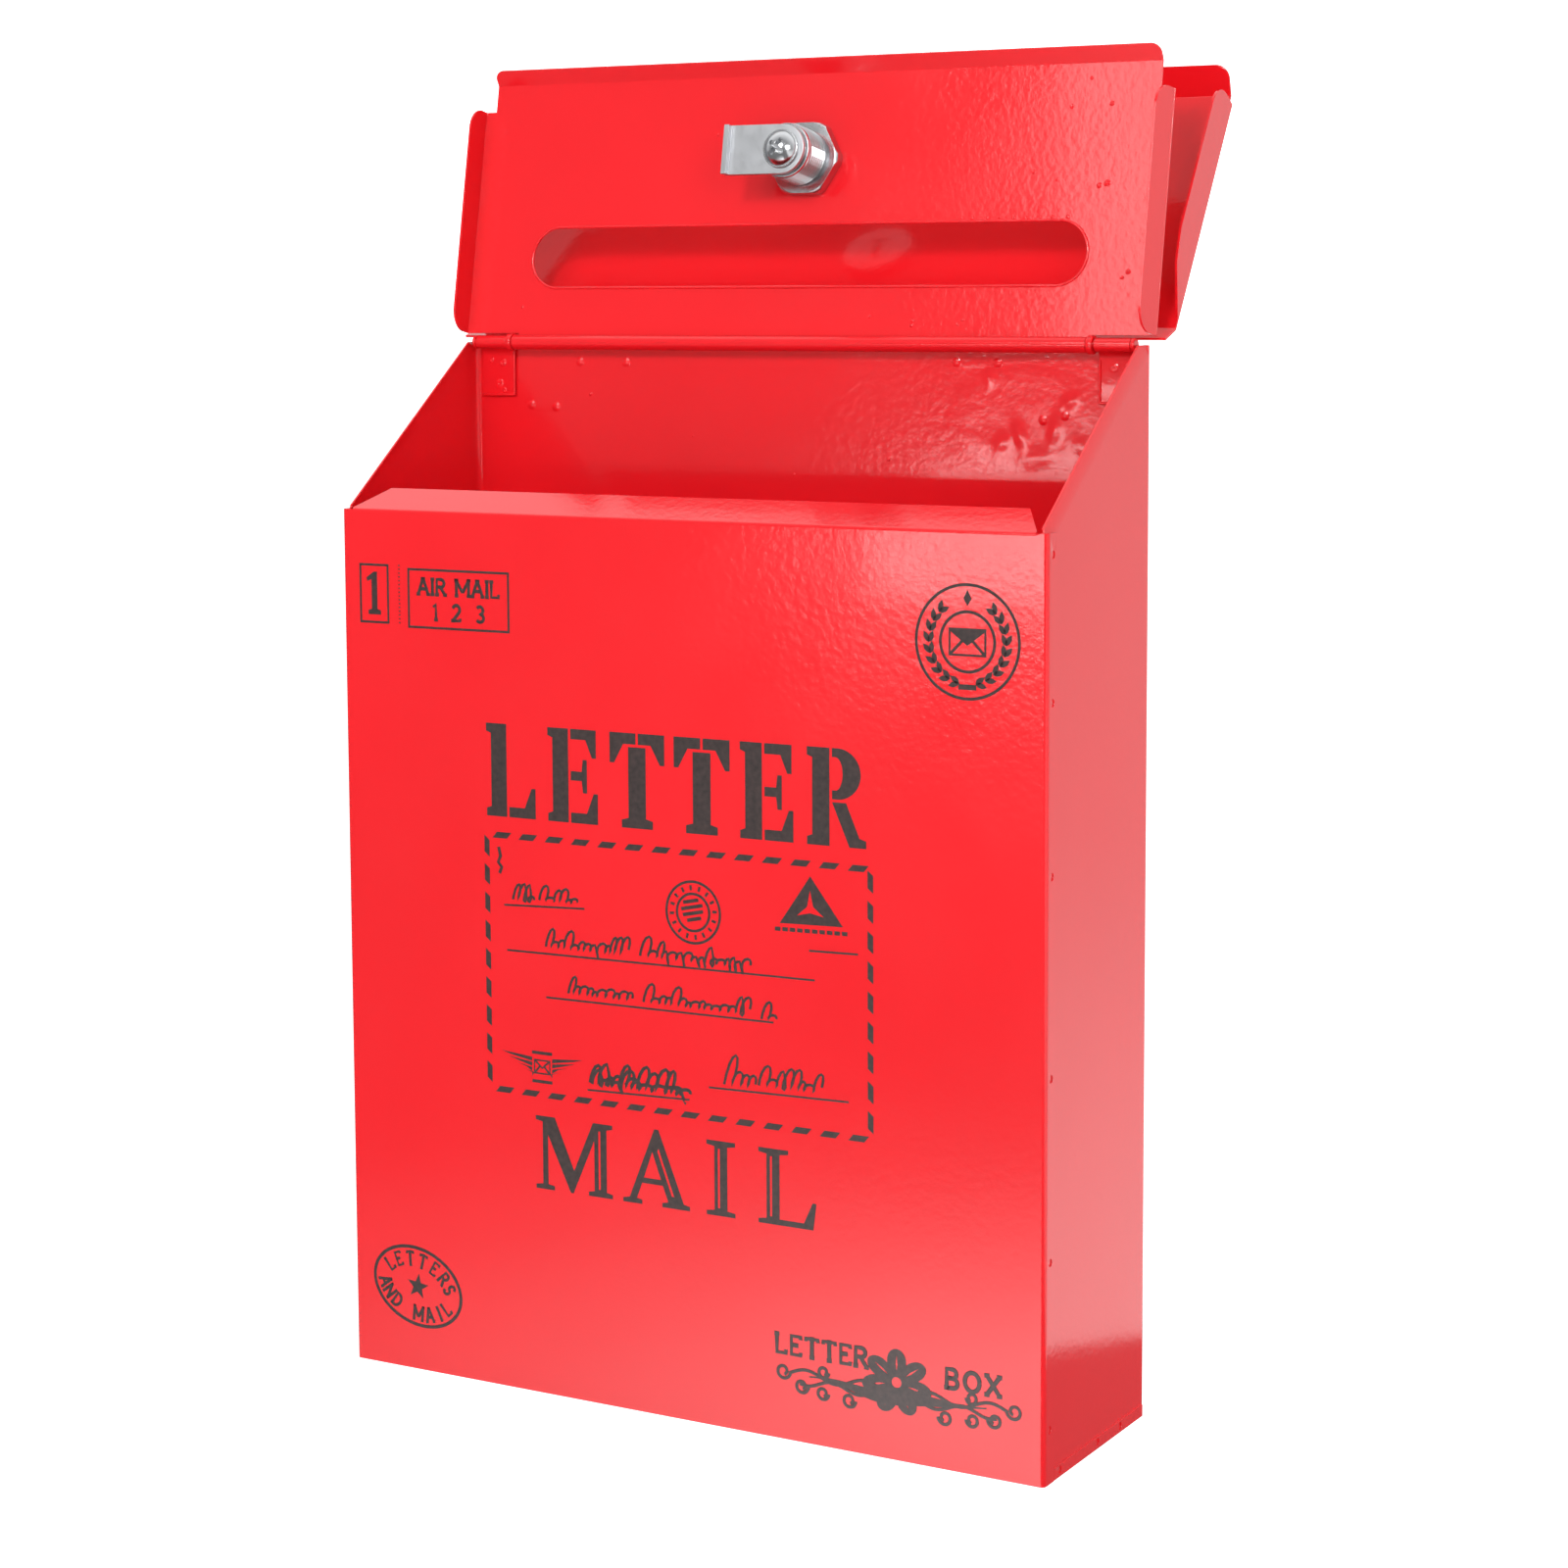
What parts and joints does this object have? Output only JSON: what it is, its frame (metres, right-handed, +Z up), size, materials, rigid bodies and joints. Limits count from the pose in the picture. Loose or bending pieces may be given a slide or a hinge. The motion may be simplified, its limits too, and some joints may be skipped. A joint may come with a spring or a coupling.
{
  "type": "mailbox",
  "caption": "Wall-mounted sheet-metal letter box with a sloping hinged lid, letter slot, cam lock and an outer weather cover.",
  "frame": {"origin": "centre of the box's flat underside", "axes": "+Z up, +Y towards the wall side (the front faces -Y), +X to the right seen from the front"},
  "size_m": [0.2316, 0.1159, 0.3822],
  "materials": {
    "red_enamel": "gloss enamel with light orange peel",
    "bright_zinc": "bright zinc plate",
    "satin_zinc": "satin zinc plate",
    "brass": "plain",
    "black_ink": "screen-printed ink"
  },
  "bodies": {
    "box": {"back_and_sides": "red_enamel", "front_panel": "red_enamel", "bottom_panel": "red_enamel", "hanger_plate_left": "red_enamel", "hanger_plate_right": "red_enamel", "hinge_leaf_left": "red_enamel", "hinge_leaf_right": "red_enamel"},
    "inner_lid": {"inner_lid": "red_enamel", "hinge_pin_left": "red_enamel", "hinge_pin_right": "red_enamel", "lock_housing": "bright_zinc", "lock_nut": "bright_zinc"},
    "lock_core": {"lock_plug": "bright_zinc", "lock_wafers": "brass", "cam": "satin_zinc", "cam_washer": "bright_zinc", "cam_screw": "bright_zinc"},
    "outer_cover": {"outer_cover": "red_enamel", "cover_ear_left": "red_enamel", "cover_ear_right": "red_enamel"}
  },
  "joints": [
    {"name": "lid_hinge", "type": "hinge", "parent": "box", "child": "inner_lid", "pos_m": [0, 0.0295, 0.3], "axis": [1, 0, 0], "range_deg": [0, 137.5]},
    {"name": "cover_hinge", "type": "hinge", "parent": "inner_lid", "child": "outer_cover", "pos_m": [0, 0.0295, 0.3], "axis": [1, 0, 0], "range_deg": [-10, 22]},
    {"name": "cam_turn", "type": "hinge", "parent": "inner_lid", "child": "lock_core", "pos_m": [0.001, 0.03882, 0.35288], "axis": [0, 0.9848, -0.1736], "range_deg": [0, 90]}
  ]
}
